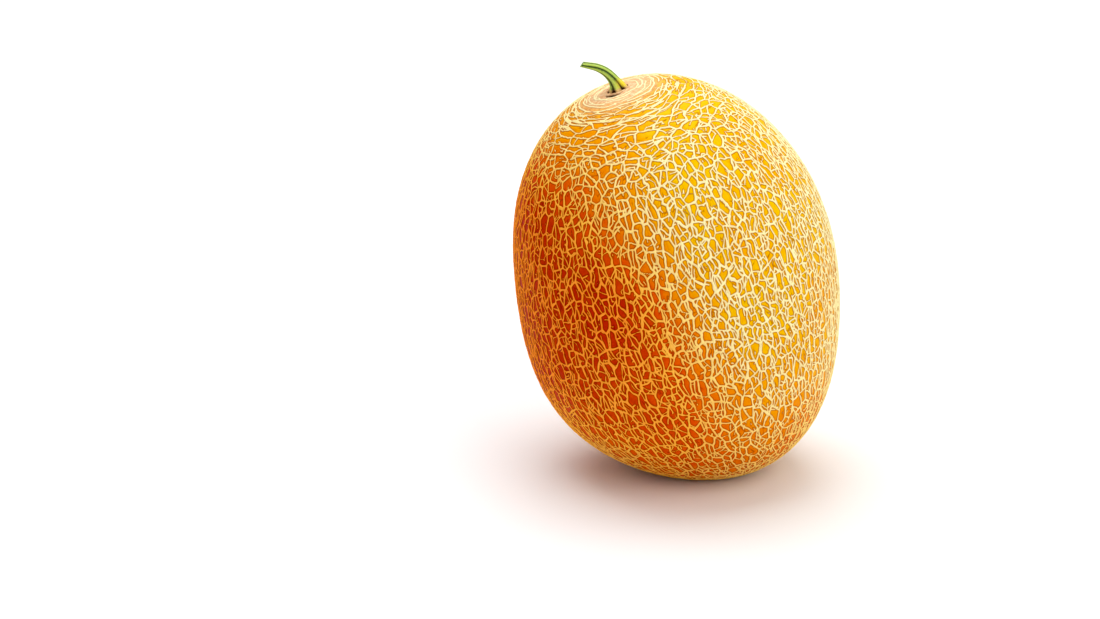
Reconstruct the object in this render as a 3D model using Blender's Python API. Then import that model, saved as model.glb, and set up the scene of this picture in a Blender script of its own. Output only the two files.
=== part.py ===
"""A whole netted cantaloupe melon with its short cut stem, lying slightly tipped on its ground spot.

Units are metres and +Z is up. The origin lies on the flat ground spot, straight under the middle of the fruit. The
stem end leans towards -X. Two pieces are modelled: the fruit, and the stem seated in the shallow socket at its top.
"""

import math

import bmesh
import bpy
from mathutils import Matrix, Vector

# Fruit body: an egg-shaped form of revolution about the fruit's own axis, then leaned over.
FRUIT_RADIUS = 0.0715
FRUIT_HALF_LENGTH = 0.091
SHOULDER_FULLNESS = 0.04
FRUIT_LEAN = math.radians(21.0)
MERIDIANS = 72
PARALLELS = 44

# The shoulder sinks a little around the stem.
SHOULDER_DIP = 0.0012
SHOULDER_DIP_RADIUS = 0.014

# Gentle lobes keep the form from being a perfect turned shape.
LOBE_COUNT = 3
LOBE_HEIGHT = 0.0005
LOBE_TWIST = math.radians(50.0)

# The side that lay on the soil is fuller, on both sides of the ground spot. An angle is from straight down, towards -X.
HEEL_FULLNESS = 0.016
HEEL_ANGLE = math.radians(29.0)
HEEL_SPREAD = math.radians(30.0)
TOE_FULLNESS = 0.010
TOE_ANGLE = math.radians(-30.0)
TOE_SPREAD = math.radians(22.0)
SPREAD_ACROSS = math.radians(34.0)

# The ground spot, the flat that the melon rests on, takes this much off the lowest part of the underside.
GROUND_SPOT_DEPTH = 0.0038

# Stem: a straight rise, a bend towards -X and a straight cut end. It leans towards -X and turns a little towards -Y.
STEM_LEAN = math.radians(18.6)
STEM_TURN = math.radians(2.5)
STEM_RISE = 0.0014
STEM_BEND_RADIUS = 0.0145
STEM_BEND_ANGLE = math.radians(60.0)
STEM_RUN = 0.0055
STEM_BASE_RADIUS = 0.0045
STEM_NECK_RADIUS = 0.0027
STEM_TIP_RADIUS = 0.0014
STEM_FLARE_LENGTH = 0.0028
STEM_STEPS = 16

# The socket that the stem grows out of.
SOCKET_DEPTH = 0.0010
SEAT_CLEARANCE = 0.0003
SOCKET_SIDES = 32

CUTTER_MARGIN = 0.010

RIND_COLOUR = (0.86, 0.52, 0.12, 1.0)
STEM_COLOUR = (0.36, 0.50, 0.08, 1.0)


def clear_scene():
    """Removes every object that the file starts with."""
    for obj in list(bpy.data.objects):
        bpy.data.objects.remove(obj, do_unlink=True)


def new_collection(name):
    """A new collection in the scene."""
    collection = bpy.data.collections.new(name)
    bpy.context.scene.collection.children.link(collection)
    return collection


def principled(name, colour, roughness):
    """A non-metallic material of one colour and roughness."""
    material = bpy.data.materials.new(name)
    material.use_nodes = True
    shader = material.node_tree.nodes["Principled BSDF"]
    shader.inputs["Base Color"].default_value = colour
    shader.inputs["Roughness"].default_value = roughness
    shader.inputs["Metallic"].default_value = 0.0
    material.diffuse_color = colour
    return material


def lean_direction(angle):
    """The unit direction in the XZ plane that is this angle from straight up, towards -X."""
    return Vector((-math.sin(angle), 0.0, math.cos(angle)))


def egg_point(polar, azimuth):
    """A point of the upright egg form, where polar is 0 at the stem end."""
    fullness = 1.0 + SHOULDER_FULLNESS * math.cos(polar)
    radius = FRUIT_RADIUS * math.sin(polar) * fullness
    radius += LOBE_HEIGHT * math.sin(polar) ** 2 * math.cos(LOBE_COUNT * azimuth + LOBE_TWIST * math.cos(polar))
    height = FRUIT_HALF_LENGTH * math.cos(polar)
    if height > 0.0:
        height -= SHOULDER_DIP * math.exp(-((radius / SHOULDER_DIP_RADIUS) ** 2))
    return Vector((radius * math.cos(azimuth), radius * math.sin(azimuth), height))


def fullness_at(direction, angle, spread, amount):
    """How much a rounded fullness, centred this angle from straight down, adds along a direction from the middle."""
    centre = -lean_direction(-angle)
    along = Vector((-math.cos(angle), 0.0, math.sin(angle)))
    away = math.acos(max(-1.0, min(1.0, direction.dot(centre))))
    flat = math.hypot(direction.dot(along), direction.y)
    if flat < 1e-9:
        return amount if away < 1.0 else 0.0
    part_along = direction.dot(along) / flat / spread
    part_across = direction.y / flat / SPREAD_ACROSS
    return amount * math.exp(-0.5 * away * away * (part_along**2 + part_across**2))


def rind_point(polar, azimuth):
    """A point of the fruit's outside, relative to its middle, before the ground spot is cut."""
    point = Matrix.Rotation(-FRUIT_LEAN, 3, "Y") @ egg_point(polar, azimuth)
    direction = point.normalized()
    heel = fullness_at(direction, HEEL_ANGLE, HEEL_SPREAD, HEEL_FULLNESS)
    toe = fullness_at(direction, TOE_ANGLE, TOE_SPREAD, TOE_FULLNESS)
    return point + direction * (heel + toe)


def fruit_middle():
    """The fruit's middle: over the origin, at the height that leaves the ground spot level with the ground."""
    lowest = 0.0
    for row in range(PARALLELS + 1):
        for column in range(MERIDIANS):
            point = rind_point(math.pi * row / PARALLELS, 2.0 * math.pi * column / MERIDIANS)
            lowest = min(lowest, point.z)
    return Vector((0.0, 0.0, -lowest - GROUND_SPOT_DEPTH))


def make_cutter(name, fill, matrix, cutters):
    """A hidden object, whose mesh the function fill makes, placed by a matrix."""
    mesh = bpy.data.meshes.new(name)
    shape = bmesh.new()
    fill(shape)
    shape.to_mesh(mesh)
    shape.free()
    cutter = bpy.data.objects.new(name, mesh)
    cutter.matrix_world = matrix
    cutter.hide_render = True
    cutter.display_type = "WIRE"
    cutters.objects.link(cutter)
    return cutter


def cut(target, cutter):
    """Adds an exact Boolean difference."""
    modifier = target.modifiers.new(cutter.name, "BOOLEAN")
    modifier.operation = "DIFFERENCE"
    modifier.solver = "EXACT"
    modifier.object = cutter


def make_fruit(parts, cutters, middle, seat):
    """The fruit: a sphere drawn out to the egg form, with the ground spot and the stem's socket cut."""
    shape = bmesh.new()
    bmesh.ops.create_uvsphere(shape, u_segments=MERIDIANS, v_segments=PARALLELS, radius=1.0)
    for vertex in shape.verts:
        polar = math.acos(max(-1.0, min(1.0, vertex.co.z)))
        azimuth = math.atan2(vertex.co.y, vertex.co.x)
        vertex.co = middle + rind_point(polar, azimuth)
    mesh = bpy.data.meshes.new("fruit")
    shape.to_mesh(mesh)
    shape.free()
    mesh.shade_smooth()
    mesh.set_sharp_from_angle(angle=math.radians(30.0))
    fruit = bpy.data.objects.new("fruit", mesh)
    parts.objects.link(fruit)

    ground_size = 4.0 * FRUIT_HALF_LENGTH
    under = Matrix.Translation((0.0, 0.0, -ground_size / 2.0))
    ground = make_cutter(
        "ground_cutter", lambda block: bmesh.ops.create_cube(block, size=ground_size), under, cutters
    )
    socket_radius = STEM_BASE_RADIUS + SEAT_CLEARANCE
    socket_length = SOCKET_DEPTH + CUTTER_MARGIN
    socket = make_cutter(
        "socket_cutter",
        lambda plug: bmesh.ops.create_cone(
            plug,
            cap_ends=True,
            segments=SOCKET_SIDES,
            radius1=socket_radius,
            radius2=socket_radius,
            depth=socket_length,
        ),
        seat @ Matrix.Translation((0.0, 0.0, socket_length / 2.0)),
        cutters,
    )
    cut(fruit, ground)
    cut(fruit, socket)
    return fruit


def stem_seat(middle):
    """The frame of the socket's floor: its Z axis runs out along the stem and its X axis is on the +X side."""
    outward = Matrix.Rotation(STEM_TURN, 3, "X") @ lean_direction(STEM_LEAN)
    across = Vector((0.0, 1.0, 0.0)).cross(outward).normalized()
    floor = middle + outward * (socket_rim_reach(outward) - SOCKET_DEPTH)
    rotation = Matrix((across, outward.cross(across), outward)).transposed()
    return Matrix.Translation(floor) @ rotation.to_4x4()


def socket_rim_reach(outward):
    """How far out along the stem's direction the lower side of the socket's rim lies from the fruit's middle."""
    socket_radius = STEM_BASE_RADIUS + SEAT_CLEARANCE
    on_axis = Matrix.Rotation(FRUIT_LEAN, 3, "Y") @ outward
    polar = math.atan2(math.hypot(on_axis.x, on_axis.y), on_axis.z)
    azimuth = math.atan2(on_axis.y, on_axis.x)
    rim = socket_radius / FRUIT_HALF_LENGTH
    return min(rind_point(polar + side * rim, azimuth).dot(outward) for side in (-1.0, 1.0))


def stem_place(distance):
    """The point of the stem's centre line this far along it, in the socket's frame. It bends towards -X."""
    if distance <= STEM_RISE:
        return Vector((0.0, 0.0, distance))
    turned = min((distance - STEM_RISE) / STEM_BEND_RADIUS, STEM_BEND_ANGLE)
    x = -STEM_BEND_RADIUS * (1.0 - math.cos(turned))
    z = STEM_RISE + STEM_BEND_RADIUS * math.sin(turned)
    return Vector((x, 0.0, z)) + lean_direction(turned) * (distance - STEM_RISE - STEM_BEND_RADIUS * turned)


def stem_route():
    """The stem's centre line as (distance along it, point) pairs, closer together along the flare."""
    length = STEM_RISE + STEM_BEND_RADIUS * STEM_BEND_ANGLE + STEM_RUN
    distances = [STEM_FLARE_LENGTH * share for share in (0.0, 0.25, 0.5, 1.0)]
    rest = length - STEM_FLARE_LENGTH
    distances += [STEM_FLARE_LENGTH + rest * (step + 1) / STEM_STEPS for step in range(STEM_STEPS)]
    return [(distance, stem_place(distance)) for distance in distances]


def stem_radius(distance, length):
    """The stem's radius this far along it: flared at the base, then tapering to the cut end."""
    taper = STEM_NECK_RADIUS + (STEM_TIP_RADIUS - STEM_NECK_RADIUS) * distance / length
    flare = (STEM_BASE_RADIUS - STEM_NECK_RADIUS) * math.exp(-((distance / STEM_FLARE_LENGTH) ** 1.5))
    return taper + flare


def make_stem(parts, seat):
    """The stem: a round bar swept along its route, standing just clear of the socket's floor."""
    route = stem_route()
    length = route[-1][0]
    curve = bpy.data.curves.new("stem", "CURVE")
    curve.dimensions = "3D"
    curve.bevel_depth = 1.0
    curve.bevel_resolution = 4
    curve.use_fill_caps = True
    spline = curve.splines.new("POLY")
    spline.points.add(len(route) - 1)
    for control, (distance, point) in zip(spline.points, route):
        control.co = (*point, 1.0)
        control.radius = stem_radius(distance, length)
    stem = bpy.data.objects.new("stem", curve)
    stem.matrix_world = seat @ Matrix.Translation((0.0, 0.0, SEAT_CLEARANCE))
    parts.objects.link(stem)
    return stem


def main():
    """Builds the melon."""
    clear_scene()
    parts = new_collection("cantaloupe_melon")
    cutters = new_collection("cutters")
    middle = fruit_middle()
    seat = stem_seat(middle)
    fruit = make_fruit(parts, cutters, middle, seat)
    fruit.data.materials.append(principled("rind", RIND_COLOUR, 0.55))
    stem = make_stem(parts, seat)
    stem.data.materials.append(principled("stem", STEM_COLOUR, 0.6))


main()
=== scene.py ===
"""The looks of a whole netted cantaloupe melon with its short cut stem, slightly tipped, on a pale floor.

The fruit is one dense skin whose corky net is real relief: three tiers of branching lines, rings round the
stem, a smooth scar with cracks, and a corky blossom end. The stem is ribbed and tapers to a cut end. Painted
shade darkens the cracks, the feet of the net lines, the underside, the far -X flank and the stem's crevices;
painted light keeps the upper +X side golden.
Everything is in metres, +Z up, in the CAD frame.
"""

from __future__ import annotations

import logging
import math
import sys
from dataclasses import dataclass, field
from enum import Enum

import bpy
import numpy as np
from mathutils import Matrix, Vector
from mathutils.kdtree import KDTree


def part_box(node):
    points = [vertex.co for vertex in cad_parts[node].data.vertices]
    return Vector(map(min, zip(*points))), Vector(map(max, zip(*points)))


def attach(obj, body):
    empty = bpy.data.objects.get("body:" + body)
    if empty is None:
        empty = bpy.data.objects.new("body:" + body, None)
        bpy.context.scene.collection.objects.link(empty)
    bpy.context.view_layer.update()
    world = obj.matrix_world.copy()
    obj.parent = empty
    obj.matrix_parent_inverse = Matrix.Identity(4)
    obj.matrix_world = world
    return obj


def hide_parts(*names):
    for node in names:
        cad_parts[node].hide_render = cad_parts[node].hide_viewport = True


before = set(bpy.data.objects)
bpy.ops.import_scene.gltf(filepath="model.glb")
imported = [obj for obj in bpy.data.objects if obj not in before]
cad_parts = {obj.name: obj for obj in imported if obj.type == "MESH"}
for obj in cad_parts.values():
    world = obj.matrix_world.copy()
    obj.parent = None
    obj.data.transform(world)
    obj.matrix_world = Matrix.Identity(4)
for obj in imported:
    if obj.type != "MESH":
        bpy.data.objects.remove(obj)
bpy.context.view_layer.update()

LOG = logging.getLogger("melon")
MM = 0.001
ROOT = "root"

Array = np.ndarray
Material = bpy.types.Material
Object = bpy.types.Object
Socket = bpy.types.NodeSocket
Pair = tuple[float, float]
Triple = tuple[float, float, float]
Inputs = dict[int | str, object]
Stops = tuple[tuple[float, Triple], ...]


def smoothstep(value: Array, low: float, high: float) -> Array:
    """An S-shaped step from 0 at low to 1 at high, which may be under low for a falling step."""
    share = np.clip((value - low) / (high - low), 0.0, 1.0)
    return share * share * (3.0 - 2.0 * share)


def hash01(*keys: Array, seed: int = 0) -> Array:
    """A repeatable random number in 0..1 for each tuple of whole numbers.

    Args:
        keys: Arrays of whole numbers, all of one shape.
        seed: Which of many independent sequences.

    Returns:
        One number in 0..1 for each element.
    """
    mixed = np.full(np.shape(keys[0]), 2166136261 + 7919 * seed, np.uint64)
    for key in keys:
        mixed ^= np.asarray(key).astype(np.int64).astype(np.uint64) & np.uint64(0xFFFFFFFF)
        mixed = (mixed * np.uint64(0x9E3779B1)) & np.uint64(0xFFFFFFFF)
        mixed ^= mixed >> np.uint64(15)
        mixed = (mixed * np.uint64(0x85EBCA6B)) & np.uint64(0xFFFFFFFF)
        mixed ^= mixed >> np.uint64(13)
    return mixed.astype(np.float64) / 4294967295.0


def value_noise(points: Array, size: float, seed: int) -> Array:
    """Smooth lattice noise.

    Args:
        points: Places, as rows of three.
        size: The size of its features, in the unit of the points.
        seed: Which of many independent fields.

    Returns:
        One value in -1..1 for each place.
    """
    cell = np.floor(points / size)
    part = points / size - cell
    part = part * part * (3.0 - 2.0 * part)
    total = np.zeros(len(points))
    for corner in range(8):
        step = np.array([corner & 1, corner >> 1 & 1, corner >> 2 & 1])
        weight = np.prod(np.where(step, part, 1.0 - part), axis=1)
        key = (cell + step).astype(np.int64)
        total += weight * hash01(key[:, 0], key[:, 1], key[:, 2], seed=seed)
    return 2.0 * total - 1.0


def between(ends: Pair, share: Array) -> Array:
    """The value at a share of the way from one end to the other."""
    return ends[0] + (ends[1] - ends[0]) * share


def vector_noise(points: Array, size: float, seed: int) -> Array:
    """Three independent noise fields as the columns of one array, in -1..1."""
    return np.stack([value_noise(points, size, seed + axis) for axis in range(3)], axis=1)


def unit(vectors: Array) -> Array:
    """The rows of an array, each made one long."""
    return vectors / np.maximum(np.linalg.norm(vectors, axis=-1, keepdims=True), 1e-12)


def angle_off(angles: Array, middle: float) -> Array:
    """How far each angle is from a middle one, in -pi..pi."""
    return np.angle(np.exp(1j * (angles - middle)))


def turn_to_z(direction: Array) -> Array:
    """The rotation matrix that carries a unit direction onto +Z by the shortest way."""
    quaternion = Vector(direction).rotation_difference(Vector((0.0, 0.0, 1.0)))
    return np.array(quaternion.to_matrix())


@dataclass
class Shader:
    """A Principled material being put together node by node."""

    name: str

    def __post_init__(self) -> None:
        """Starts the material with an empty Principled shader."""
        self.material = bpy.data.materials.new(self.name)
        self.material.use_nodes = True
        self.tree = self.material.node_tree
        self.surface = self.tree.nodes["Principled BSDF"]
        self.place = self.node("ShaderNodeTexCoord").outputs["Object"]

    def node(self, kind: str, inputs: Inputs | None = None, **settings: object) -> bpy.types.Node:
        """Adds a node.

        Args:
            kind: Its type.
            inputs: What each input is fed, by the input's name or number.
            settings: Its properties.

        Returns:
            The node.
        """
        made = self.tree.nodes.new(kind)
        for key, value in settings.items():
            setattr(made, key, value)
        self.feed(made, inputs or {})
        return made

    def feed(self, node: bpy.types.Node, inputs: Inputs) -> None:
        """Feeds a node.

        Args:
            node: The node to feed.
            inputs: Another socket, a plain colour or a plain number for each input.
        """
        for key, source in inputs.items():
            if isinstance(source, Socket):
                self.tree.links.new(source, node.inputs[key])
            else:
                node.inputs[key].default_value = (*source, 1.0) if isinstance(source, tuple) else source

    def dressed(self, inputs: Inputs) -> Material:
        """The finished material, its surface fed with these inputs."""
        self.feed(self.surface, inputs)
        return self.material

    def attribute(self, name: str) -> Socket:
        """The value of a point attribute of the mesh."""
        return self.node("ShaderNodeAttribute", attribute_name=name).outputs["Fac"]

    def noise(self, size: float, detail: float = 2.0, roughness: float = 0.5) -> Socket:
        """Noise in object space whose features are this large, as a value around 0.5."""
        inputs = {"Vector": self.place, "Scale": 1.0 / size, "Detail": detail, "Roughness": roughness}
        return self.node("ShaderNodeTexNoise", inputs).outputs["Fac"]

    def mottle(self, size: float, detail: float, amount: float) -> Socket:
        """Noise around zero, this strong."""
        return self.math("MULTIPLY", self.math("SUBTRACT", self.noise(size, detail), 0.5), amount)

    def math(self, operation: str, first: object, second: object = 0.0) -> Socket:
        """A math node's result."""
        return self.node("ShaderNodeMath", {0: first, 1: second}, operation=operation).outputs[0]

    def span(self, value: object, low: float, high: float, start: float = 0.0, end: float = 1.0) -> Socket:
        """Carries a value from low..high smoothly to start..end, held at both ends."""
        inputs = {"Value": value, "From Min": low, "From Max": high, "To Min": start, "To Max": end}
        return self.node("ShaderNodeMapRange", inputs, interpolation_type="SMOOTHSTEP").outputs["Result"]

    def ramp(self, value: object, stops: Stops) -> Socket:
        """A colour ramp.

        Args:
            value: Where on the ramp to read.
            stops: The place and the colour of each stop.

        Returns:
            The colour there.
        """
        made = self.node("ShaderNodeValToRGB", {"Fac": value})
        elements = made.color_ramp.elements
        while len(elements) < len(stops):
            elements.new(0.5)
        for element, (where, colour) in zip(elements, stops):
            element.position = where
            element.color = (*colour, 1.0)
        return made.outputs["Color"]

    def mix(self, share: object, first: object, second: object, blend: str = "MIX") -> Socket:
        """A mix of two colours, each a socket or a plain colour, with this share of the second."""
        inputs = {"Factor": share, 6: first, 7: second}
        return self.node("ShaderNodeMix", inputs, data_type="RGBA", blend_type=blend).outputs[2]

    def bump(self, height: object, distance: float, strength: float = 1.0) -> Socket:
        """A normal bent by a height."""
        inputs = {"Strength": strength, "Distance": distance, "Height": height}
        return self.node("ShaderNodeBump", inputs).outputs["Normal"]


@dataclass(frozen=True)
class RindForm:
    """The egg form of the fruit, leaned over and fuller on its underside, as the CAD solid has it.

    Directions are unit vectors of the upright egg, +Z at the stem end: their polar angle and azimuth are the
    egg's own parameters.
    """

    radius: float = 0.0715
    half_length: float = 0.091
    shoulder_fullness: float = 0.04
    lean: float = math.radians(21.0)
    dip: float = 0.0012
    dip_radius: float = 0.014
    lobe_count: int = 3
    lobe_height: float = 0.0005
    lobe_twist: float = math.radians(50.0)
    heel: Triple = (0.016, math.radians(29.0), math.radians(30.0))
    toe: Triple = (0.010, math.radians(-30.0), math.radians(22.0))
    spread_across: float = math.radians(34.0)
    ground_rounding: float = 0.0010

    def egg(self, directions: Array) -> Array:
        """The upright egg.

        Args:
            directions: Directions of the egg.

        Returns:
            Its points.
        """
        cos_polar = np.clip(directions[:, 2], -1.0, 1.0)
        sin_polar = np.sqrt(1.0 - cos_polar**2)
        azimuth = np.arctan2(directions[:, 1], directions[:, 0])
        radius = self.radius * sin_polar * (1.0 + self.shoulder_fullness * cos_polar)
        lobes = np.cos(self.lobe_count * azimuth + self.lobe_twist * cos_polar)
        radius += self.lobe_height * sin_polar**2 * lobes
        height = self.half_length * cos_polar
        height = height - np.where(height > 0.0, self.dip * np.exp(-((radius / self.dip_radius) ** 2)), 0.0)
        return np.stack([radius * np.cos(azimuth), radius * np.sin(azimuth), height], axis=1)

    def fullness(self, directions: Array, swelling: Triple) -> Array:
        """How far a swelling pushes the rind out.

        Args:
            directions: Unit directions from the fruit's middle.
            swelling: Its amount, its angle from straight down towards -X, and its spread.

        Returns:
            The push in each direction.
        """
        amount, angle, spread = swelling
        centre = np.array([-math.sin(angle), 0.0, -math.cos(angle)])
        along = np.array([-math.cos(angle), 0.0, math.sin(angle)])
        away = np.arccos(np.clip(directions @ centre, -1.0, 1.0))
        part_along = directions @ along
        part_across = directions[:, 1]
        flat = np.maximum(np.hypot(part_along, part_across), 1e-9)
        reach = (part_along / flat / spread) ** 2 + (part_across / flat / self.spread_across) ** 2
        return amount * np.exp(-0.5 * away**2 * reach)

    def points(self, directions: Array) -> Array:
        """The outside before the ground spot.

        Args:
            directions: Directions of the egg.

        Returns:
            Points relative to the fruit's middle.
        """
        egg = self.egg(directions)
        cos_lean, sin_lean = math.cos(self.lean), math.sin(self.lean)
        leaned_x = egg[:, 0] * cos_lean - egg[:, 2] * sin_lean
        leaned_z = egg[:, 0] * sin_lean + egg[:, 2] * cos_lean
        leaned = np.stack([leaned_x, egg[:, 1], leaned_z], axis=1)
        outward = unit(leaned)
        grown = self.fullness(outward, self.heel) + self.fullness(outward, self.toe)
        return leaned + outward * grown[:, None]

    def settled(self, directions: Array, middle_height: float) -> Array:
        """The outside in the CAD frame, with the underside rounded off into the flat ground spot.

        Args:
            directions: Directions of the egg.
            middle_height: The height of the fruit's middle.

        Returns:
            Its points.
        """
        points = self.points(directions)
        points[:, 2] += middle_height
        points[:, 2] = 0.5 * (points[:, 2] + np.sqrt(points[:, 2] ** 2 + self.ground_rounding**2))
        return points

    def arc_lengths(self) -> tuple[Array, Array]:
        """The way along a meridian of the egg.

        Returns:
            Many polar angles and the lengths from the stem end to them.
        """
        polar = np.linspace(0.0, math.pi, 721)
        directions = np.stack([np.sin(polar), np.zeros_like(polar), np.cos(polar)], axis=1)
        points = self.egg(directions)
        lengths = np.concatenate([[0.0], np.cumsum(np.linalg.norm(np.diff(points, axis=0), axis=1))])
        return polar, lengths


@dataclass(frozen=True)
class StemSeat:
    """Where the stem stands on the fruit: its direction, and the same place in the egg's own parameters."""

    lean: float = math.radians(18.6)
    turn: float = math.radians(2.5)

    def outward(self) -> Vector:
        """The stem's direction where it leaves the fruit."""
        return Matrix.Rotation(self.turn, 3, "X") @ Vector((-math.sin(self.lean), 0.0, math.cos(self.lean)))

    def on_egg(self, form: RindForm) -> Array:
        """Where the stem stands on the egg.

        Args:
            form: The form of the fruit.

        Returns:
            The direction of the egg under the stem.
        """
        upright = Matrix.Rotation(form.lean, 3, "Y") @ self.outward()
        stretch = form.half_length / (form.radius * (1.0 + form.shoulder_fullness))
        return unit(np.array([upright.x * stretch, upright.y * stretch, upright.z]))


@dataclass(frozen=True)
class Tier:
    """One tier of the net: its cells' size, its lines' width and the share of its lines that have grown."""

    cell: float
    width: Pair
    kept: float
    seed: int


class NetTier(Enum):
    """The three tiers of corky lines, each inside the cells of the one before."""

    MAIN = Tier(cell=1.62, width=(0.64 * MM, 0.90 * MM), kept=1.25, seed=11)
    FINE = Tier(cell=1.0, width=(0.47 * MM, 0.68 * MM), kept=0.90, seed=23)
    SPUR = Tier(cell=0.55, width=(0.38 * MM, 0.56 * MM), kept=0.36, seed=37)


@dataclass(frozen=True)
class SurfaceSample:
    """Places on the rind, with what the net needs to know at each."""

    points: Array
    across: Array
    along: Array
    distance: Array
    azimuth: Array

    def noise(self, size: float, seed: int) -> Array:
        """Smooth noise over the places, in -1..1, whose features are this large."""
        return value_noise(self.points, size, seed)


@dataclass
class GrownTier:
    """The growing points of one tier, with the cell of the tier before that each lies in."""

    tier: Tier
    sites: Array
    parents: Array
    tree: KDTree


@dataclass
class Net:
    """The raised corky net of the rind, as the distance of each place from the nearest line."""

    form: RindForm
    stem_axis: Array
    seed: int = 5
    candidates: int = 26
    voxel: float = 1.8 * MM
    chunk: int = 60000
    webbing: float = 0.09 * MM
    uneven: Pair = (0.32, 0.38)
    bend: tuple[Pair, ...] = ((5.0 * MM, 0.85 * MM), (2.0 * MM, 0.42 * MM))
    stations: tuple[float, ...] = (0.0, 16.0, 30.0, 42.0, 54.0, 80.0, 200.0, 235.0, 260.0)
    cells_across: tuple[float, ...] = (10.0, 9.6, 8.0, 5.0, 3.3, 2.45, 2.35, 2.3, 2.2)
    cells_along: tuple[float, ...] = (2.7, 2.7, 2.8, 2.9, 3.5, 4.6, 4.6, 3.0, 2.4)
    ring_first: float = 9.6 * MM
    ring_last: float = 31.0 * MM
    ring_step: Pair = (1.5 * MM, 2.4 * MM)
    ring_width: Pair = (0.48 * MM, 0.80 * MM)
    tiers: dict[NetTier, GrownTier] = field(default_factory=dict)

    def __post_init__(self) -> None:
        """Measures the meridian and grows the tiers, the coarse one first."""
        self.to_pole = turn_to_z(self.stem_axis)
        self.polar_steps, self.length_steps = self.form.arc_lengths()
        self.total = self.length_steps[-1]
        parent = None
        for kind in NetTier:
            parent = self.grow(kind.value, parent)
            self.tiers[kind] = parent

    def directions(self, azimuth: Array, distance: Array) -> Array:
        """Finds places by their way from the stem.

        Args:
            azimuth: Their azimuths about the stem.
            distance: Their distances from it along the meridian.

        Returns:
            Their directions of the egg.
        """
        polar = np.interp(distance, self.length_steps, self.polar_steps)
        flat = np.sin(polar)
        about_stem = np.stack([flat * np.cos(azimuth), flat * np.sin(azimuth), np.cos(polar)], axis=1)
        return about_stem @ self.to_pole

    def cell_sizes(self, distance: Array) -> tuple[Array, Array]:
        """How wide round the fruit and how long along it a fine cell is, this far from the stem."""
        stations, across, along = np.array([self.stations, self.cells_across, self.cells_along]) * MM
        return np.interp(distance, stations, across), np.interp(distance, stations, along)

    def sample(self, directions: Array) -> SurfaceSample:
        """Measures the rind.

        Args:
            directions: Directions of the egg.

        Returns:
            What the net needs to know under each.
        """
        about_stem = directions @ self.to_pole.T
        polar = np.arccos(np.clip(about_stem[:, 2], -1.0, 1.0))
        azimuth = np.arctan2(about_stem[:, 1], about_stem[:, 0])
        distance = np.interp(polar, self.polar_steps, self.length_steps)
        points = self.form.points(directions)
        nearer, farther = (
            self.form.points(self.directions(azimuth, np.clip(distance + step, 0.0, self.total)))
            for step in (-0.5 * MM, 0.5 * MM)
        )
        along = unit(farther - nearer)
        across = unit(np.cross(unit(points), along))
        return SurfaceSample(points, across, along, distance, azimuth)

    def grow(self, tier: Tier, parent: GrownTier | None) -> GrownTier:
        """Sets the growing points of a tier in uneven rows, and finds the parent cell of each.

        Args:
            tier: The tier to grow.
            parent: The grown tier before it, if any.

        Returns:
            The grown tier.
        """
        random = np.random.default_rng(self.seed + tier.seed)
        azimuths: list[Array] = []
        distances: list[Array] = []
        at = 0.0
        while at < self.total:
            across, along = (float(size) * tier.cell for size in self.cell_sizes(np.array(at)))
            polar = np.interp(at + 0.5 * along, self.length_steps, self.polar_steps)
            girth = 2.0 * math.pi * self.form.radius * math.sin(min(polar, math.pi))
            count = max(3, round(girth / across))
            turns = np.arange(count) + random.uniform(0.0, 1.0)
            turns = (turns + random.uniform(-self.uneven[0], self.uneven[0], count)) / count
            azimuths.append(turns * 2.0 * math.pi)
            distances.append(at + along * (0.5 + random.uniform(-self.uneven[1], self.uneven[1], count)))
            at += along
        far = np.clip(np.concatenate(distances), 0.0, self.total)
        directions = self.directions(np.concatenate(azimuths), far)
        sites = self.form.points(directions)
        tree = KDTree(len(sites))
        for index, site in enumerate(sites):
            tree.insert(site, index)
        tree.balance()
        owners = np.zeros(len(sites), np.int64)
        if parent is not None:
            sample = self.sample(directions)
            owners = self.lines(parent, sample, sample.points, None)[2]
        return GrownTier(tier, sites, owners, tree)

    def near(self, grown: GrownTier, points: Array) -> Array:
        """Finds the growing points near places, once for each small cube of space.

        Args:
            grown: The tier whose growing points are meant.
            points: The places.

        Returns:
            The numbers of the nearest growing points, a row for each place.
        """
        cubes = np.floor(points / self.voxel).astype(np.int64)
        keys, index = np.unique(cubes, axis=0, return_inverse=True)
        count = min(self.candidates, len(grown.sites))
        found = np.empty((len(keys), count), np.int64)
        for row, key in enumerate(keys):
            found[row] = [hit[1] for hit in grown.tree.find_n((key + 0.5) * self.voxel, count)]
        return found[index.reshape(-1)]

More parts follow.
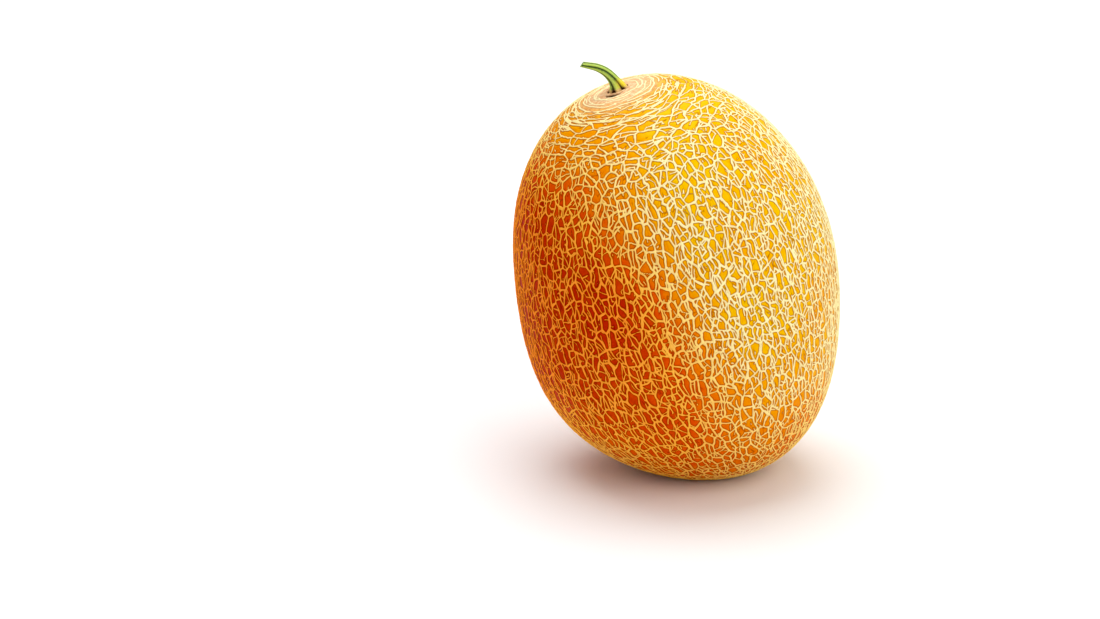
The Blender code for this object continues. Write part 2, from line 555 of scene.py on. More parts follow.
    def lines(
        self, grown: GrownTier, sample: SurfaceSample, points: Array, parents: Array | None
    ) -> tuple[Array, Array, Array]:
        """The lines of one tier.

        Args:
            grown: The tier.
            sample: Where it is read.
            points: The places after the bending that makes the lines wavy.
            parents: The cell of the tier before at each place, or None for the first tier.

        Returns:
            How far inside a line each place is (negative outside), a random tone of that line, and its cell.
        """
        tier = grown.tier
        near = self.near(grown, points)
        inside = np.full(len(points), -5.0 * MM)
        tone = np.zeros(len(points))
        owner = np.zeros(len(points), np.int64)
        patchy = sample.noise(3.4 * MM, 900 + tier.seed)
        swelling = sample.noise(2.3 * MM, 950 + tier.seed)
        slender = 0.80 + 0.20 * smoothstep(sample.distance, 22.0 * MM, 48.0 * MM)
        for start in range(0, len(points), self.chunk):
            part = slice(start, start + self.chunk)
            across_size, along_size = (size * tier.cell for size in self.cell_sizes(sample.distance[part]))
            sites = grown.sites[near[part]]
            gap = sites - points[part, None, :]
            across = np.einsum("nkc,nc->nk", gap, sample.across[part])
            along = np.einsum("nkc,nc->nk", gap, sample.along[part])
            pull_across, pull_along = across_size[:, None] ** -2, along_size[:, None] ** -2
            reach = across**2 * pull_across + along**2 * pull_along
            if parents is not None:
                reach = np.where(grown.parents[near[part]] == parents[part, None], reach, 1e6)
            rows = np.arange(len(reach))
            first = reach.argmin(axis=1)
            owner[part] = near[part][rows, first]
            step_across = across - across[rows, first][:, None]
            step_along = along - along[rows, first][:, None]
            slope = 2.0 * np.hypot(step_across * pull_across, step_along * pull_along)
            off = (reach - reach[rows, first][:, None]) / np.maximum(slope, 1e-9)
            off[rows, first] = 1.0
            off = np.where(reach > 1e5, 1.0, off)
            low = np.minimum(near[part], owner[part][:, None])
            high = np.maximum(near[part], owner[part][:, None])
            luck = hash01(low, high, seed=tier.seed)
            width = between(tier.width, hash01(low, high, seed=tier.seed + 1))
            width = width * (slender[part] * (1.0 + 0.22 * swelling[part]))[:, None]
            grownness = np.clip((tier.kept - luck + 0.28 * patchy[part][:, None]) / 0.14, 0.0, 1.0)
            depth = 0.5 * width * grownness - off - 0.4 * MM * (1.0 - grownness)
            best = depth.argmax(axis=1)
            top = depth[rows, best]
            webbed = np.exp((depth - top[:, None]) / self.webbing).sum(axis=1)
            inside[part] = top + self.webbing * np.log(webbed)
            tone[part] = luck[rows, best]
        return inside, tone, owner

    def rings(self, sample: SurfaceSample) -> Array:
        """The rings round the stem.

        Args:
            sample: Where they are read.

        Returns:
            How far inside a ring each place is.
        """
        inside = np.full(len(sample.points), -5.0 * MM)
        circle = np.stack([np.cos(sample.azimuth), np.sin(sample.azimuth)], axis=1)
        radius = self.ring_first
        index = 0
        while radius < self.ring_last:
            luck = float(hash01(np.array(index), seed=71))
            offset = np.full((len(circle), 1), 10.0 * index)
            wave = 0.9 * MM * value_noise(np.hstack([circle * 1.6, offset]), 1.0, 301)
            wave += 0.45 * MM * value_noise(np.hstack([circle * 5.0, offset]), 1.0, 302)
            present = value_noise(np.hstack([circle * 3.2, offset]), 1.0, 303)
            thinning = (radius - self.ring_first) / (self.ring_last - self.ring_first)
            grownness = np.clip((1.0 - 1.1 * thinning + present) / 0.25, 0.0, 1.0)
            off = np.abs(sample.distance + wave - radius)
            depth = 0.5 * between(self.ring_width, luck) * grownness - off - 0.4 * MM * (1.0 - grownness)
            inside = np.maximum(inside, depth)
            radius += between(self.ring_step, luck)
            index += 1
        return inside

    def read(self, sample: SurfaceSample) -> tuple[Array, Array]:
        """The whole net.

        Args:
            sample: Where it is read.

        Returns:
            How far inside a line each place is, negative outside, and the tone of the line in 0..1.
        """
        points = sample.points.copy()
        for order, (size, amount) in enumerate(self.bend):
            points += amount * vector_noise(sample.points, size, 500 + 10 * order)
        clear = smoothstep(sample.distance, 14.0 * MM, 21.0 * MM)
        parents = None
        inside = self.rings(sample)
        tone = np.full(len(points), 0.4)
        for kind in NetTier:
            depth, luck, parents = self.lines(self.tiers[kind], sample, points, parents)
            depth = depth - 0.9 * MM * (1.0 - clear)
            tone = np.where(depth > inside, luck, tone)
            inside = np.maximum(inside, depth)
        return inside, tone


@dataclass
class MeshDraft:
    """A mesh of four-sided faces, with a material, point attributes and a map."""

    name: str
    material: Material
    points: Array
    faces: Array
    attributes: dict[str, Array] = field(default_factory=dict)
    places: Array | None = None

    def to_object(self) -> Object:
        """Makes the smooth-shaded object and links it into the scene.

        Returns:
            The object.
        """
        mesh = bpy.data.meshes.new(self.name)
        mesh.vertices.add(len(self.points))
        mesh.vertices.foreach_set("co", self.points.astype(np.float32).ravel())
        mesh.loops.add(self.faces.size)
        mesh.loops.foreach_set("vertex_index", self.faces.astype(np.int32).ravel())
        mesh.polygons.add(len(self.faces))
        mesh.polygons.foreach_set("loop_start", np.arange(0, self.faces.size, 4, dtype=np.int32))
        mesh.update(calc_edges=True)
        for name, values in self.attributes.items():
            layer = mesh.attributes.new(name, "FLOAT", "POINT")
            layer.data.foreach_set("value", values.astype(np.float32))
        if self.places is not None:
            layer = mesh.uv_layers.new(name="OFBake")
            layer.data.foreach_set("uv", self.places.astype(np.float32).ravel())
        mesh.materials.append(self.material)
        mesh.shade_smooth()
        made = bpy.data.objects.new(self.name, mesh)
        bpy.context.scene.collection.objects.link(made)
        return made


def face_normals(points: Array, faces: Array) -> Array:
    """Area-weighted point normals.

    Args:
        points: The points of a mesh.
        faces: Its four-sided faces.

    Returns:
        A unit normal for each point.
    """
    diagonal_a = points[faces[:, 2]] - points[faces[:, 0]]
    diagonal_b = points[faces[:, 3]] - points[faces[:, 1]]
    normals = np.cross(diagonal_a, diagonal_b)
    total = np.zeros_like(points)
    for corner in range(4):
        for axis in range(3):
            total[:, axis] += np.bincount(faces[:, corner], normals[:, axis], len(points))
    return unit(total)


@dataclass(frozen=True)
class CubeGrid:
    """A ball made of the six faces of a cube, whose points are drawn closer together round its +Z pole."""

    cells: int
    pole_pull: float = 0.5
    pole_reach: float = 0.2
    margin: float = 0.006

    def build(self) -> tuple[Array, Array, Array]:
        """Makes the ball.

        Returns:
            Unit directions, four-sided faces and a place on the map for each face corner.
        """
        steps = np.linspace(-0.25 * math.pi, 0.25 * math.pi, self.cells + 1)
        first, second = np.meshgrid(np.tan(steps), np.tan(steps), indexing="ij")
        row = self.cells + 1
        corner = (np.arange(self.cells)[:, None] * row + np.arange(self.cells)[None, :]).ravel()
        quads = np.stack([corner, corner + row, corner + row + 1, corner + 1], axis=1)
        share = np.linspace(0.0, 1.0, row)
        across, up = np.meshgrid(share, share, indexing="ij")
        flat = np.stack([across.ravel(), up.ravel()], axis=1) * (1.0 - 2.0 * self.margin) + self.margin
        points, faces, places = [], [], []
        for side in range(6):
            out, top = np.zeros((2, 3))
            out[side // 2] = 1.0 - 2.0 * (side % 2)
            top[2 if side < 4 else 1] = 1.0
            grid = out + first.ravel()[:, None] * np.cross(top, out) + second.ravel()[:, None] * top
            points.append(unit(grid))
            faces.append(quads + side * row * row)
            chart = (flat + (side % 3, side // 3)) / (3.0, 2.0)
            places.append(chart[quads.ravel()])
        ball = np.concatenate(points)
        _, kept, index = np.unique(np.round(ball, 7), axis=0, return_index=True, return_inverse=True)
        return self.pull(ball[kept]), index.reshape(-1)[np.concatenate(faces)], np.concatenate(places)

    def pull(self, directions: Array) -> Array:
        """Draws directions closer to +Z around it.

        Args:
            directions: The unit directions.

        Returns:
            The drawn ones.
        """
        polar = np.arccos(np.clip(directions[:, 2], -1.0, 1.0))
        moved = polar * (1.0 - self.pole_pull * np.exp(-((polar / self.pole_reach) ** 2)))
        flat = np.maximum(np.hypot(directions[:, 0], directions[:, 1]), 1e-12)
        sine = np.sin(moved) / flat
        return np.stack([directions[:, 0] * sine, directions[:, 1] * sine, np.cos(moved)], axis=1)


@dataclass(frozen=True)
class RindFinish:
    """Waxy golden skin deepening to red orange, under a corky net, with painted shade by its lines and
    cracks.
    """

    # The skin by its turn to red orange: the deep red end is partly riper skin, partly painted shade and
    # reflected light.
    skin: Stops = (
        (0.00, (0.86, 0.50, 0.006)),
        (0.14, (0.86, 0.39, 0.003)),
        (0.40, (0.82, 0.24, 0.002)),
        (0.70, (0.72, 0.080, 0.001)),
        (1.00, (0.50, 0.022, 0.001)),
    )
    # The cork follows the same turn: its orange end is partly painted shade and warm reflected light.
    cork: Stops = (
        (0.00, (0.98, 0.89, 0.50)),
        (0.25, (1.00, 0.83, 0.38)),
        (0.50, (1.00, 0.69, 0.19)),
        (0.75, (1.00, 0.48, 0.060)),
        (1.00, (0.98, 0.29, 0.032)),
    )
    cork_shade: Triple = (0.74, 0.56, 0.36)
    scar: Triple = (0.76, 0.40, 0.19)
    scar_pale: Triple = (0.88, 0.62, 0.36)
    # Painted shade: near-black laid into the cracks round the stem, the slit and the seam; it also darkens
    # the middle of the blossom end.
    crack_shade: Triple = (0.04, 0.014, 0.005)
    # Painted shade: multiplied into the skin at the foot of each net line, where the ridges shade it.
    foot: Triple = (0.50, 0.31, 0.22)

    def make(self) -> Material:
        """Builds the material from the skin's attributes for its lines, tones, reddening, scar and painted
        shade in cracks.

        Returns:
            The material.
        """
        shader = Shader("melon_rind")
        names = ("line", "ripe_and_shade", "tone", "scar", "crack_shade")
        line, ripe_and_shade, tone, scar, crack_shade = (shader.attribute(name) for name in names)
        mottled = shader.math("ADD", shader.mottle(7.0 * MM, 3.0, 0.40), shader.mottle(1.1 * MM, 2.0, 0.22))
        # Reddening from riper skin, with painted shade and painted light in it.
        skin = shader.ramp(shader.math("ADD", ripe_and_shade, mottled), self.skin)
        # Painted shade: the skin is darkened just outside each net line.
        foot = shader.span(line, -0.60, -0.08, 0.0, 0.9)
        skin = shader.mix(foot, skin, self.foot, "MULTIPLY")
        smooth = shader.mix(shader.span(shader.noise(1.6 * MM, 3.0), 0.35, 0.7), self.scar, self.scar_pale)
        skin = shader.mix(scar, skin, smooth)
        fibres = shader.noise(0.8 * MM, 3.0, 0.65)
        aged = shader.math("MULTIPLY", fibres, 0.45)
        aged = shader.math("ADD", shader.math("MULTIPLY", tone, 0.35), aged)
        # The cork is tinted by the same reddening, which carries painted shade and reflected light.
        cork = shader.ramp(shader.math("SUBTRACT", ripe_and_shade, shader.math("MULTIPLY", scar, 0.2)), self.cork)
        cork = shader.mix(shader.span(aged, 0.22, 0.85, 0.0, 0.6), cork, self.cork_shade, "MULTIPLY")
        colour = shader.mix(shader.span(line, -0.10, 0.10), skin, cork)
        porous = shader.span(line, -0.1, 0.1, 0.35, 1.0)
        pores = shader.math("MULTIPLY", shader.noise(0.55 * MM, 3.0, 0.6), porous)
        inputs = {
            # Painted shade: near-black over the cracks, the slit and the seam.
            "Base Color": shader.mix(crack_shade, colour, self.crack_shade),
            "Roughness": shader.span(line, -0.2, 0.1, 0.46, 0.75),
            "Specular IOR Level": 0.04,
            "Normal": shader.bump(pores, 0.16 * MM, 0.8),
        }
        return shader.dressed(inputs)


@dataclass(frozen=True)
class StemFinish:
    """Fresh green ribs with dark grooves, a yellow wing at the foot, painted shade in the crevices and a
    pale cut face.
    """

    rib: Triple = (0.46, 0.62, 0.10)
    groove: Triple = (0.030, 0.075, 0.004)
    wing: Triple = (0.86, 0.66, 0.02)
    # Painted shade for the crevices between the ribs near the stem's foot.
    crevice_shade: Triple = (0.045, 0.014, 0.003)
    flap: Triple = (0.72, 0.46, 0.17)
    pith: Triple = (0.22, 0.32, 0.07)

    def make(self) -> Material:
        """Builds the material from the stem's rib, yellow, foot and cut attributes and the painted shade of
        its crevices.

        Returns:
            The material.
        """
        shader = Shader("melon_stem")
        rib = shader.attribute("rib")
        marked = shader.math("ADD", rib, shader.mottle(0.7 * MM, 3.0, 0.5))
        colour = shader.mix(shader.span(marked, 0.22, 0.80), self.groove, self.rib)
        colour = shader.mix(shader.attribute("yellow"), colour, self.wing)
        # At the foot the ribs are corky brown and the grooves between them take the painted crevice shade.
        foot = shader.mix(shader.span(marked, 0.30, 0.75), self.crevice_shade, self.flap)
        colour = shader.mix(shader.attribute("foot"), colour, foot)
        # Painted shade in the crevices near the foot.
        colour = shader.mix(shader.attribute("crevice_shade"), colour, self.crevice_shade)
        inputs = {
            "Base Color": shader.mix(shader.attribute("cut"), colour, self.pith),
            "Roughness": 0.50,
            "Specular IOR Level": 0.35,
            "Normal": shader.bump(shader.noise(0.3 * MM, 3.0), 0.08 * MM, 0.7),
        }
        return shader.dressed(inputs)


@dataclass(frozen=True)
class FloorFinish:
    """A plain pale floor."""

    colour: Triple = (0.93, 0.93, 0.93)

    def make(self) -> Material:
        """Builds the material.

        Returns:
            The material.
        """
        shader = Shader("pale_floor")
        clouded = shader.mix(shader.noise(0.8), self.colour, tuple(0.99 * part for part in self.colour))
        return shader.dressed({"Base Color": clouded, "Roughness": 0.85, "Specular IOR Level": 0.2})


@dataclass(frozen=True)
class RipeningAndShade:
    """How much each cause turns the skin from gold to red orange; the last two keep it golden. The start,
    the patches and the bare spot are the skin's own tone; the blush is partly a riper side and partly
    painted shade with warm reflected light; the underside and the far -X flank are painted shade; the upper
    +X side is painted light.
    """

    start: float = 0.12
    # Partly a riper side, partly painted shade and warm reflected light towards -X.
    blush_and_shade: float = 0.82
    # Painted shade: the underside turns darker red orange.
    under: float = 0.39
    patches: float = 0.10
    patch_size: float = 34.0 * MM
    # Painted shade on the far -X flank.
    painted_flank_shade: float = 0.14
    # Painted light: keeps the upper +X side golden.
    painted_lit_side: float = 0.08
    bare_spot: float = 0.12


@dataclass
class Fruit:
    """The fruit: one dense skin with the net, the scar round the stem and the blossom end as real relief."""

    form: RindForm = RindForm()
    seat: StemSeat = StemSeat()
    finish: RindFinish = RindFinish()
    ripening_and_shade: RipeningAndShade = RipeningAndShade()
    cells: int = 330
    quick_cells: int = 150
    inset: float = 0.06 * MM
    net_height: float = 0.40 * MM
    groove_depth: float = 0.09 * MM
    crack_radius: float = 4.9 * MM
    crack_depth: float = 0.9 * MM
    scar_radius: float = 12.0 * MM
    blossom_radius: float = 4.5 * MM
    spot_place: Triple = (1.0 * MM, 0.5 * MM, 88.0 * MM)
    slit_azimuth: float = math.radians(-112.0)
    slit_radius: float = 7.4 * MM

    def middle_height(self) -> float:
        """How high the fruit's middle is, from the top of its CAD solid."""
        directions = CubeGrid(cells=60).build()[0]
        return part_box("fruit")[1].z - self.form.points(directions)[:, 2].max()

    def spot(self, sample: SurfaceSample) -> Array:
        """Where the bare yellow spot beside the rings is, as a share."""
        off = np.linalg.norm(sample.points - np.array(self.spot_place), axis=1)
        return smoothstep(off + 1.5 * MM * sample.noise(5.0 * MM, 43), 8.0 * MM, 3.0 * MM)

    def slit(self, sample: SurfaceSample) -> tuple[Array, Array]:
        """The dark slit in front of the stem's foot and the thin dark seam round it; their darkness is
        painted shade.

        Args:
            sample: Where they are read.

        Returns:
            The shares of the slit and of the seam.
        """
        off = np.abs(angle_off(sample.azimuth, self.slit_azimuth))
        radius = sample.distance + 0.30 * MM * sample.noise(1.0 * MM, 67)
        radius = radius + 1.6 * MM * smoothstep(off, 0.4, 1.2) - 1.4 * MM * smoothstep(off, 1.4, 2.6)
        across = (radius - self.slit_radius) / MM
        opening = 0.15 + 0.85 * smoothstep(off, 0.75, 0.0)
        open_part = np.clip(1.8 * np.exp(-((across / opening) ** 2)), 0.0, 1.0) * smoothstep(off, 0.75, 0.45)
        patchy = smoothstep(sample.noise(4.0 * MM, 68), -0.5, 0.3)
        return open_part, np.exp(-((across / 0.26) ** 2)) * patchy

    def ripeness_and_shade(self, points: Array, sample: SurfaceSample) -> Array:
        """How far the skin is turned towards red orange, partly by riper skin and partly by painted shade
        and light.

        Args:
            points: Places on the rind, relative to the fruit's middle.
            sample: The same places as the net knows them.

        Returns:
            A share for each, 0 for gold and 1 for red orange.
        """
        amount = self.ripening_and_shade
        side = points / self.form.radius
        slanted = side[:, 0] + 0.5 * np.maximum(side[:, 2], -0.5)
        # Partly a riper side, partly painted shade and warm reflected light towards -X.
        blush_and_shade = smoothstep(slanted, 0.34, -0.52) * np.exp(-(((side[:, 2] + 0.10) / 0.97) ** 4))
        # Painted shade: the underside turns darker red orange.
        under = smoothstep(-side[:, 2], 0.0, 1.3)
        patches = sample.noise(amount.patch_size, 41)
        ripe_and_shade = amount.start + amount.blush_and_shade * blush_and_shade**0.8 + amount.under * under * (1.0 - blush_and_shade)
        ripe_and_shade += amount.patches * patches
        # Painted shade on the far -X flank.
        ripe_and_shade += amount.painted_flank_shade * smoothstep(-side[:, 0], 0.70, 1.0) * blush_and_shade
        # Painted light: keeps the upper +X side golden.
        ripe_and_shade -= amount.painted_lit_side * smoothstep(side[:, 0] + side[:, 2], 0.4, 1.4)
        ripe_and_shade -= amount.bare_spot * self.spot(sample)
        return np.clip(ripe_and_shade, 0.0, 1.0)

    def build(self) -> Object:
        """Makes the skin, dresses it and puts it in the place of its CAD node.

        Returns:
            The skin.
        """
        height = self.middle_height()
        about_stem, faces, places = CubeGrid(self.cells).build()
        axis = self.seat.on_egg(self.form)
        directions = about_stem @ turn_to_z(axis)
        net = Net(self.form, axis)
        sample = net.sample(directions)
        inside, tone = net.read(sample)
        inside -= 0.22 * MM * self.spot(sample)
        outer = self.form.settled(directions, height)
        normals = face_normals(outer, faces)
        edge = sample.distance + 0.9 * MM * sample.noise(3.0 * MM, 61)
        scar = smoothstep(edge, self.scar_radius + 13.0 * MM, self.scar_radius - 2.0 * MM)
        jag = sample.distance + 0.35 * MM * sample.noise(0.9 * MM, 62)
        socket = smoothstep(jag, self.crack_radius + 0.35 * MM, self.crack_radius - 0.35 * MM)
        slit, seam = self.slit(sample)
        from_blossom = net.total - sample.distance + 0.6 * MM * sample.noise(1.6 * MM, 63)
        button = smoothstep(from_blossom, self.blossom_radius + 0.8 * MM, self.blossom_radius - 0.8 * MM)

        share = np.clip(inside / (0.45 * MM), 0.0, 1.0)
        crest = 0.86 + 0.14 * sample.noise(1.3 * MM, 64)
        relief = self.net_height * share * (2.0 - share) * crest
        relief -= self.groove_depth * np.exp(-(((inside + 0.35 * MM) / (0.28 * MM)) ** 2))
        relief += 0.06 * MM * smoothstep(-inside, 0.3 * MM, 1.6 * MM)
        collar = smoothstep(sample.distance, self.slit_radius + 0.5 * MM, self.slit_radius - 1.2 * MM)
        relief += 0.24 * MM * collar * (1.0 + 0.5 * sample.noise(1.2 * MM, 65)) / 1.5
        relief = np.clip(relief, -self.groove_depth, self.net_height)
        corky = 0.25 * MM + 0.16 * MM * sample.noise(1.1 * MM, 66)
        relief = relief * (1.0 - button) + button * corky
        depth = self.inset + self.net_height - relief + self.crack_depth * np.maximum(socket, 0.8 * slit)
        depth += 0.12 * MM * seam
        points = outer - normals * depth[:, None]
        points[:, 2] = np.maximum(points[:, 2], 0.02 * MM)

        pit = 0.75 * button * smoothstep(from_blossom, 2.4 * MM, 1.2 * MM)
        attributes = {
            "line": inside / MM,
            "tone": tone,
            # The turn to red orange: riper skin with painted shade and painted light in it.
            "ripe_and_shade": self.ripeness_and_shade(outer - (0.0, 0.0, height), sample),
            "scar": np.maximum(scar, 0.8 * button),
            # Where the painted shade of the cracks, slit and seam goes, and the darkened middle of the
            # blossom end.
            "crack_shade": np.maximum.reduce([socket, slit, 0.55 * seam, pit]),
        }
        fruit = MeshDraft("melon_fruit", self.finish.make(), points, faces, attributes, places).to_object()
        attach(fruit, ROOT)
        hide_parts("fruit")
        return fruit


@dataclass
class Stem:
    """The cut peduncle: ribbed, flared at its foot, bent over towards -X, with a dished cut end."""

    seat: StemSeat = StemSeat()
    finish: StemFinish = StemFinish()
    rise: float = 1.4 * MM
    bend_radius: float = 14.5 * MM
    bend_angle: float = math.radians(60.0)
    run: float = 5.5 * MM
    base_radius: float = 4.5 * MM
    neck_radius: float = 2.7 * MM
    tip_radius: float = 1.4 * MM
    flare_length: float = 2.8 * MM
    ribs: int = 6
    rib_height: float = 0.17
    twist: float = math.radians(38.0)
    around: int = 120
    lengthwise: int = 150
    cap_rings: int = 7
    wing: float = 1.3 * MM
    wing_angle: float = math.radians(-22.0)
    slant: float = 0.45

    def length(self) -> float:
        """The length along the centre line."""
        return self.rise + self.bend_radius * self.bend_angle + self.run

    def centre(self, at: float) -> tuple[Vector, Vector]:
        """A place on the centre line.

        Args:
            at: How far along it.

        Returns:
            The point and the line's direction there, in the seat's frame.
        """
        if at < self.rise:
            return Vector((0.0, 0.0, at)), Vector((0.0, 0.0, 1.0))
        turned = min((at - self.rise) / self.bend_radius, self.bend_angle)
        beyond = max(0.0, at - self.rise - self.bend_radius * self.bend_angle)
        heading = Vector((-math.sin(turned), 0.0, math.cos(turned)))
        x = -self.bend_radius * (1.0 - math.cos(turned))
        z = self.rise + self.bend_radius * math.sin(turned)
        return Vector((x, 0.0, z)) + heading * beyond, heading

    def radius_at(self, at: float) -> float:
        """The plain radius this far along, before ribs."""
        taper = self.neck_radius + (self.tip_radius - self.neck_radius) * at / self.length()
        return taper + (self.base_radius - self.neck_radius) * math.exp(-((at / self.flare_length) ** 1.5))

    def ring(self, at: float, scale: float = 1.0) -> tuple[Array, Array]:
        """One ring of points.

        Args:
            at: How far along the centre line.
            scale: A share of the full radius, for the rings of an end face.

        Returns:
            The ring's points in the seat's frame, and how high each is, 0 in a groove and 1 on a rib.
        """
        centre, heading = (np.array(part) for part in self.centre(at))
        side = np.array((0.0, 1.0, 0.0))
        other = np.cross(side, heading)
        angle = self.angles()
        turn = angle + self.twist * at / self.length() + 0.5
        wave = 0.5 + 0.5 * np.cos(self.ribs * turn + 0.6 * np.sin(2.0 * angle))
        minor = 0.5 + 0.5 * np.cos(2 * self.ribs * turn + 1.1)
        rib = np.clip(0.80 * wave**0.7 + 0.20 * minor, 0.0, 1.0)
        foot = math.exp(-((at / (1.3 * self.flare_length)) ** 2))
        height = self.rib_height * (1.0 + 1.3 * foot)
        radius = self.radius_at(at) * scale * (1.0 - height * (1.0 - rib) * scale)
        radius += self.wing * scale * foot * np.exp(-((angle_off(angle, self.wing_angle) / 0.75) ** 2))
        swollen = 1.0 + 0.07 * math.exp(-(((self.length() - at) / (1.2 * MM)) ** 2))
        local_other, local_side = radius * swollen * np.cos(angle), radius * swollen * np.sin(angle)
        slant = self.slant * float(smoothstep(np.array(at), self.length() - 3.0 * MM, self.length()))
        back = slant * (local_other + self.tip_radius)
        points = centre + local_other[:, None] * other + local_side[:, None] * side
        return points - back[:, None] * heading, rib

    def angles(self) -> Array:
        """The angles of the points of one ring; 0 is towards +X."""
        return np.linspace(0.0, 2.0 * math.pi, self.around, endpoint=False)

    def rings(self) -> tuple[Array, dict[str, Array]]:
        """All the rings from the middle of the foot to the middle of the cut end.

        Returns:
            Their points and the point attributes.
        """
        length = self.length()
        plan = [(0.0, share, 0.0) for share in np.linspace(0.02, 0.96, self.cap_rings)]
        steps = range(self.lengthwise + 1)
        plan += [(length * (step / self.lengthwise) ** 1.25, 1.0, 0.0) for step in steps]
        plan += [(length, share, 1.0) for share in np.linspace(0.93, 0.02, self.cap_rings)]
        rows: list[Array] = []
        notes: list[list[Array]] = []
        towards = np.exp(-(angle_off(self.angles(), self.wing_angle) ** 2))
        for at, scale, cut in plan:
            points, rib = self.ring(at, scale)
            if cut:
                points -= np.array(self.centre(at)[1]) * 0.25 * MM * (1.0 - scale**2)
            rows.append(points)
            far = np.full(self.around, at)
            foot = smoothstep(far, 2.0 * MM, 0.7 * MM)
            # Painted shade: the grooves near the foot, where the stem meets the fruit.
            crevice_shade = smoothstep(far, 7.5 * MM, 1.5 * MM) * smoothstep(rib, 0.45, 0.05)
            yellow = towards * smoothstep(far, 6.0 * MM, 2.6 * MM)
            notes.append([rib, foot, crevice_shade, yellow, np.full(self.around, cut)])
        names = ("rib", "foot", "crevice_shade", "yellow", "cut")
        return np.concatenate(rows), dict(zip(names, np.concatenate(notes, axis=1)))

    def build(self) -> Object:
        """Makes the stem, dresses it and puts it in the place of its CAD node.

        Returns:
            The stem.
        """
        points, attributes = self.rings()
        rows = np.arange(len(points) // self.around - 1)[:, None] * self.around
        column = np.arange(self.around)[None, :]
        after = (column + 1) % self.around
        above = rows + self.around
        corners = [rows + column, rows + after, above + after, above + column]
        faces = np.stack(corners, axis=-1).reshape(-1, 4)
        points = self.placed(points)
        stem = MeshDraft("melon_stem", self.finish.make(), points, faces, attributes).to_object()
        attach(stem, ROOT)
        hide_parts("stem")
        return stem

    def placed(self, points: Array) -> Array:
        """Sets points where the CAD stem is, so that the plain bar without ribs fills its box.

        Args:
            points: Points in the seat's frame.

        Returns:
            The same points in the CAD frame.
        """
        outward = self.seat.outward()
        across = Vector((0.0, 1.0, 0.0)).cross(outward).normalized()
        rotation = np.array(Matrix((across, outward.cross(across), outward)))
        bars = []
        side = np.array((0.0, 1.0, 0.0))
        for at in np.linspace(0.0, self.length(), 200):
            centre, heading = (np.array(part) for part in self.centre(float(at)))
            other = np.cross(side, heading)
            disc = np.cos(self.angles())[:, None] * other + np.sin(self.angles())[:, None] * side
            bars.append(centre + self.radius_at(float(at)) * disc)
        bar = np.concatenate(bars) @ rotation
        low, high = (np.array(corner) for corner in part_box("stem"))
        return points @ rotation + 0.5 * (low + high - bar.min(axis=0) - bar.max(axis=0))


@dataclass(frozen=True)
class Lamp:
    """A soft rectangular lamp aimed at the melon."""

    name: str
    place: Triple
    size: float
    power: float
    colour: Triple = (1.0, 1.0, 1.0)

    def make(self, aim: Vector) -> Object:
        """Puts the lamp in the scene.

        Args:
            aim: The point that it is turned to and placed from.

        Returns:
            The lamp.
        """
        data = bpy.data.lights.new(self.name, "AREA")
        data.size = self.size
        data.energy = self.power
        data.color = self.colour
        lamp = bpy.data.objects.new(self.name, data)
        lamp.location = aim + Vector(self.place)
        lamp.rotation_euler = (-Vector(self.place)).to_track_quat("-Z", "Y").to_euler()
        bpy.context.scene.collection.objects.link(lamp)
        return lamp


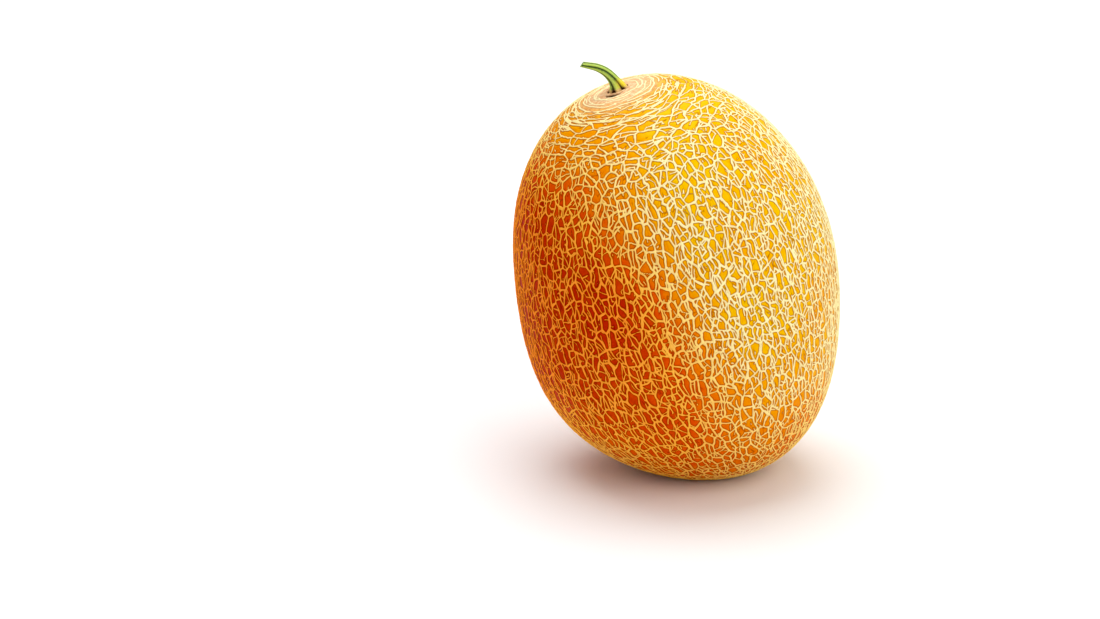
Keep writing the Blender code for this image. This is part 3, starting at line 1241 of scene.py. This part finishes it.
@dataclass
class Studio:
    """A pale floor under soft light, and the camera."""

    elevation: float = math.radians(19.0)
    camera_distance: float = 1.5
    lens: float = 106.7
    aim_beside: float = -58.8 * MM
    aim_height: float = 76.7 * MM
    floor_size: float = 12.0
    black: float = 0.010
    sky: Pair = (0.36, 0.66)
    finish: FloorFinish = FloorFinish()
    lamps: tuple[Lamp, ...] = (
        Lamp("overhead", (-0.20, 0.40, 1.85), 1.9, 34.0),
        Lamp("side", (1.0, -1.05, 1.1), 1.5, 12.0, (1.0, 0.99, 0.96)),
    )

    def build(self) -> None:
        """Sets the floor, the lamps, the sky and the camera."""
        self.floor()
        for lamp in self.lamps:
            lamp.make(Vector((0.0, 0.0, self.aim_height)))
        self.shade_sky()
        self.develop()
        self.set_camera()

    def shade_sky(self) -> None:
        """Makes the white sky, which is stronger towards +X."""
        world = bpy.data.worlds.new("soft_sky")
        world.use_nodes = True
        nodes, links = world.node_tree.nodes, world.node_tree.links
        place = nodes.new("ShaderNodeTexCoord")
        parts = nodes.new("ShaderNodeSeparateXYZ")
        span = nodes.new("ShaderNodeMapRange")
        for key, number in zip(("From Min", "From Max", "To Min", "To Max"), (-1.0, 1.0, *self.sky)):
            span.inputs[key].default_value = number
        links.new(place.outputs["Generated"], parts.inputs[0])
        links.new(parts.outputs["X"], span.inputs["Value"])
        links.new(span.outputs["Result"], nodes["Background"].inputs["Strength"])
        nodes["Background"].inputs["Color"].default_value = (1.0, 1.0, 1.0, 1.0)
        bpy.context.scene.world = world

    def set_camera(self) -> None:
        """Puts the camera where it looks at the melon from the front, a little from above."""
        data = bpy.data.cameras.new("camera")
        data.lens = self.lens
        camera = bpy.data.objects.new("camera", data)
        ahead = Vector((0.0, math.cos(self.elevation), -math.sin(self.elevation)))
        camera.location = Vector((self.aim_beside, 0.0, self.aim_height)) - ahead * self.camera_distance
        camera.rotation_euler = ahead.to_track_quat("-Z", "Y").to_euler()
        bpy.context.scene.collection.objects.link(camera)
        bpy.context.scene.camera = camera

    def develop(self) -> None:
        """Sets a plain picture with slightly deepened blacks."""
        view = bpy.context.scene.view_settings
        view.view_transform = "Standard"
        view.use_curve_mapping = True
        view.curve_mapping.black_level = (self.black,) * 3
        view.curve_mapping.update()

    def floor(self) -> Object:
        """Lays the floor that the melon stands on.

        Returns:
            The floor.
        """
        signs = np.array([(-1.0, -1.0, 0.0), (1.0, -1.0, 0.0), (1.0, 1.0, 0.0), (-1.0, 1.0, 0.0)])
        corners = 0.5 * self.floor_size * signs
        floor = MeshDraft("floor", self.finish.make(), corners, np.array([[0, 1, 2, 3]])).to_object()
        return floor


def main() -> None:
    """Builds the studio, the fruit and the stem, and notes the size of the result."""
    logging.basicConfig(level=logging.INFO, format="%(name)s: %(message)s", stream=sys.stdout)
    Studio().build()
    for part in (Fruit(), Stem()):
        made = part.build()
        LOG.info("%s: %d faces", made.name, len(made.data.polygons))


if __name__ == "__main__":
    main()
